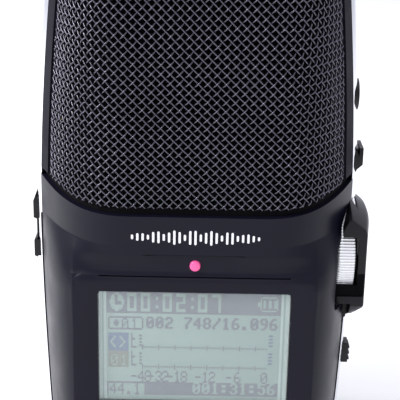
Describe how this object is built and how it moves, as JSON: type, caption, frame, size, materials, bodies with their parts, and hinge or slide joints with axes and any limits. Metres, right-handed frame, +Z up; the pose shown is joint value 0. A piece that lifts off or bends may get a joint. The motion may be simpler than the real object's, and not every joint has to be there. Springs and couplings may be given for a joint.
{
  "type": "portable field recorder",
  "caption": "Hand-held field recorder: wire-mesh microphone head above a rounded body with a display, top mode dial and side controls.",
  "frame": {"origin": "mouth of the tripod socket in the middle of the base", "axes": "+Z up out of the base towards the mode dial, the display faces -Y, the gain wheel is at +X"},
  "size_m": [0.0676, 0.0426, 0.1138],
  "materials": {
    "shell_plastic": "satin-gloss charcoal moulding",
    "panel_plastic": "polished black moulding",
    "panel_silver": "bright silver lacquer",
    "frame_plastic": "matte charcoal moulding",
    "mesh_wire": "woven steel wire, dark lacquer",
    "cloth": "black acoustic cloth",
    "inner_plastic": "black moulding",
    "capsule_metal": "bare shell",
    "dial_plastic": "knurled black moulding",
    "window_glass": "clear acrylic",
    "lcd_panel": "pale green liquid crystal display",
    "bright_metal": "plated steel",
    "board": "green solder mask",
    "lamp_lens": "tinted lens",
    "button_plastic": "fine-grained black moulding",
    "ring_metal": "bright ring",
    "wheel_metal": "bright ribbed rim",
    "guard_plastic": "black moulding",
    "gold": "gold-plated bushing",
    "jack_plastic": "black moulding",
    "card": "blue card case",
    "speaker_black": "black speaker",
    "cell_wrap": "printed foil wrap",
    "screw_steel": "black oxide screw"
  },
  "bodies": {
    "recorder_body": {"front_shell": "shell_plastic", "rear_shell": "shell_plastic", "left_side_panel": "panel_silver", "right_side_panel": "panel_silver", "base_plate": "panel_plastic", "front_grille_frame": "frame_plastic", "rear_grille_frame": "frame_plastic", "front_grille": "mesh_wire", "rear_grille": "mesh_wire", "front_cloth": "cloth", "rear_cloth": "cloth", "mic_deck": "inner_plastic", "capsule_mount": "inner_plastic", "xy_capsules": "capsule_metal", "mid_capsule": "capsule_metal", "side_capsules": "capsule_metal", "top_cap": "panel_plastic", "mode_switch": "bright_metal", "lcd_window": "window_glass", "lcd_frame": "bright_metal", "lcd_module": "lcd_panel", "display_board": "board", "led_lens": "lamp_lens", "record_button_ring": "ring_metal", "tact_switches": "button_plastic", "gain_pot": "board", "gain_guard": "guard_plastic", "play_switch": "button_plastic", "rocker_pin": "bright_metal", "rocker_bracket": "board", "power_switch": "bright_metal", "line_in_jack": "gold", "phones_jack": "jack_plastic", "remote_jack": "jack_plastic", "usb_port": "bright_metal", "main_board": "board", "sd_socket": "bright_metal", "sd_card": "card", "sd_cover_pin": "bright_metal", "speaker": "speaker_black", "battery_tray": "inner_plastic", "battery_cells": "cell_wrap", "battery_springs": "bright_metal", "battery_contacts": "bright_metal", "door_pin": "bright_metal", "tripod_insert": "gold", "housing_screws": "screw_steel"},
    "mode_dial": {"mode_dial": "dial_plastic", "mode_dial_stem": "bright_metal"},
    "gain_wheel": {"gain_wheel": "wheel_metal", "gain_shaft": "bright_metal"},
    "menu_button": {"menu_button": "button_plastic"},
    "play_lever_carrier": {"play_lever_carrier": "button_plastic"},
    "play_lever": {"play_lever": "button_plastic"},
    "volume_rocker": {"volume_rocker": "button_plastic"},
    "power_slider": {"power_slider": "button_plastic"},
    "record_button": {"record_button": "button_plastic"},
    "battery_door": {"battery_door": "shell_plastic"},
    "sd_cover": {"sd_cover": "button_plastic"}
  },
  "joints": [
    {"name": "mode_dial_turn", "type": "hinge", "parent": "recorder_body", "child": "mode_dial", "pos_m": [0, 0, 0.107], "axis": [0, 0, 1], "range_deg": [0, 270]},
    {"name": "gain_wheel_turn", "type": "hinge", "parent": "recorder_body", "child": "gain_wheel", "pos_m": [0.0295, 0, 0.0459], "axis": [1, 0, 0], "range_deg": [-140, 140]},
    {"name": "menu_button_press", "type": "slide", "parent": "recorder_body", "child": "menu_button", "axis": [-1, 0, 0], "range_m": [0, 0.0004], "stiffness_N_per_m": 400},
    {"name": "play_lever_press", "type": "slide", "parent": "recorder_body", "child": "play_lever_carrier", "axis": [-1, 0, 0], "range_m": [0, 0.0005], "stiffness_N_per_m": 400},
    {"name": "play_lever_tilt", "type": "hinge", "parent": "play_lever_carrier", "child": "play_lever", "pos_m": [0.0289, 0, 0.0646], "axis": [0, 1, 0], "range_deg": [-8, 8], "stiffness_Nm_per_rad": 0.02},
    {"name": "volume_rocker_tilt", "type": "hinge", "parent": "recorder_body", "child": "volume_rocker", "pos_m": [-0.0284, 0, 0.0496], "axis": [0, 1, 0], "range_deg": [-3, 3], "stiffness_Nm_per_rad": 0.04},
    {"name": "power_slider_slide", "type": "slide", "parent": "recorder_body", "child": "power_slider", "axis": [0, 0, 1], "range_m": [-0.0021, 0.0021]},
    {"name": "record_button_press", "type": "slide", "parent": "recorder_body", "child": "record_button", "axis": [0, 1, 0], "range_m": [0, 0.0006], "stiffness_N_per_m": 400},
    {"name": "battery_door_swing", "type": "hinge", "parent": "recorder_body", "child": "battery_door", "pos_m": [0, 0.0186, 0.008], "axis": [-1, 0, 0], "range_deg": [0, 90]},
    {"name": "sd_cover_swing", "type": "hinge", "parent": "recorder_body", "child": "sd_cover", "pos_m": [0, -0.013, 0.00125], "axis": [-1, 0, 0], "range_deg": [0, 90]}
  ]
}
